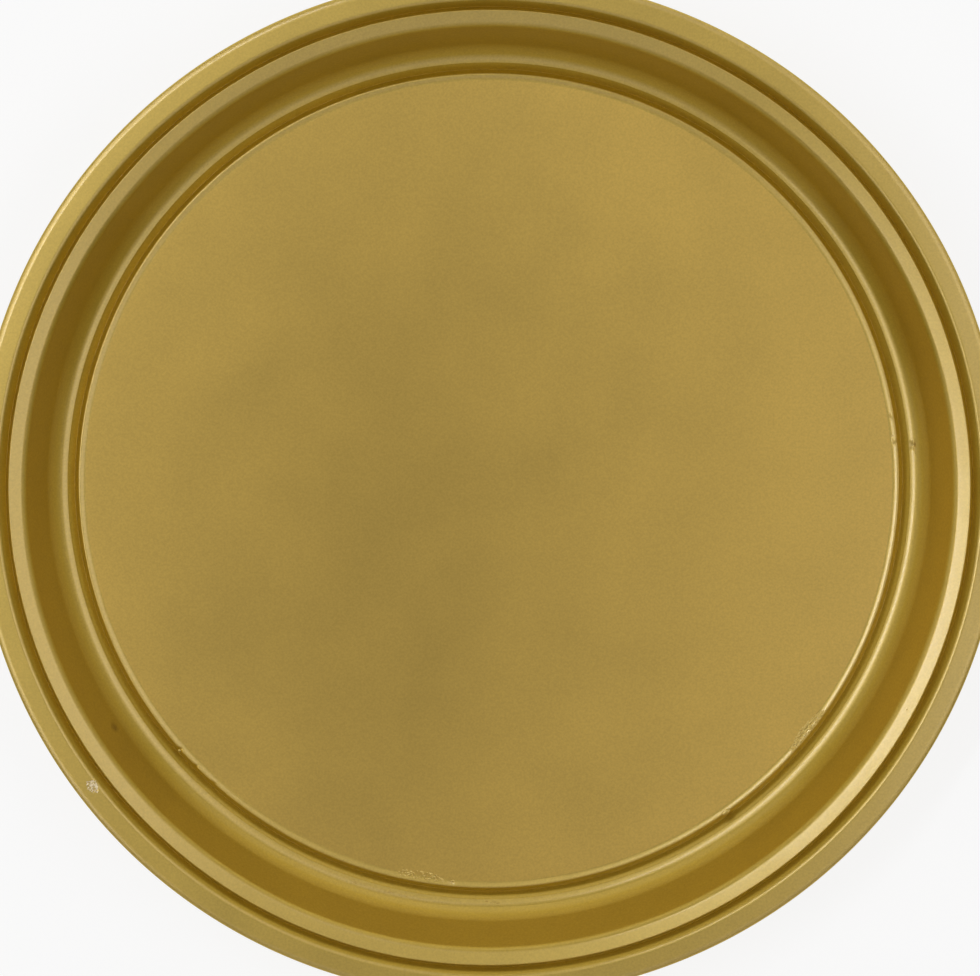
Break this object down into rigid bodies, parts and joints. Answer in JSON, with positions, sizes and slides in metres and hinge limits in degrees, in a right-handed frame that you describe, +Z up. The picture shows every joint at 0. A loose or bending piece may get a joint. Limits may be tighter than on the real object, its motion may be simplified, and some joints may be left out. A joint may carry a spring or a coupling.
{
  "type": "decorative plate",
  "caption": "Round gold decorative plate with a flat well, a raised moulded rim with grooves and a cove, and felt pads underneath.",
  "frame": {"origin": "centre of the plate, on the surface that it stands on", "axes": "+Z up along the axis of the plate; X and Y lie flat, and the pads stand at 45 degrees between them"},
  "size_m": [0.33, 0.33, 0.033],
  "materials": {
    "gold_paint": "satin gold metallic lacquer on fibre board",
    "painted_filler": "wood filler under gold lacquer",
    "zinc_steel": "zinc plated",
    "felt": "pressed wool felt"
  },
  "bodies": {
    "root": {"rim_ring": "gold_paint", "well_panel": "gold_paint", "joint_filler": "painted_filler", "panel_screw_1": "zinc_steel", "panel_screw_2": "zinc_steel", "panel_screw_3": "zinc_steel", "panel_screw_4": "zinc_steel", "panel_screw_5": "zinc_steel", "panel_screw_6": "zinc_steel", "felt_pad_1": "felt", "felt_pad_2": "felt", "felt_pad_3": "felt", "felt_pad_4": "felt"}
  },
  "joints": []
}
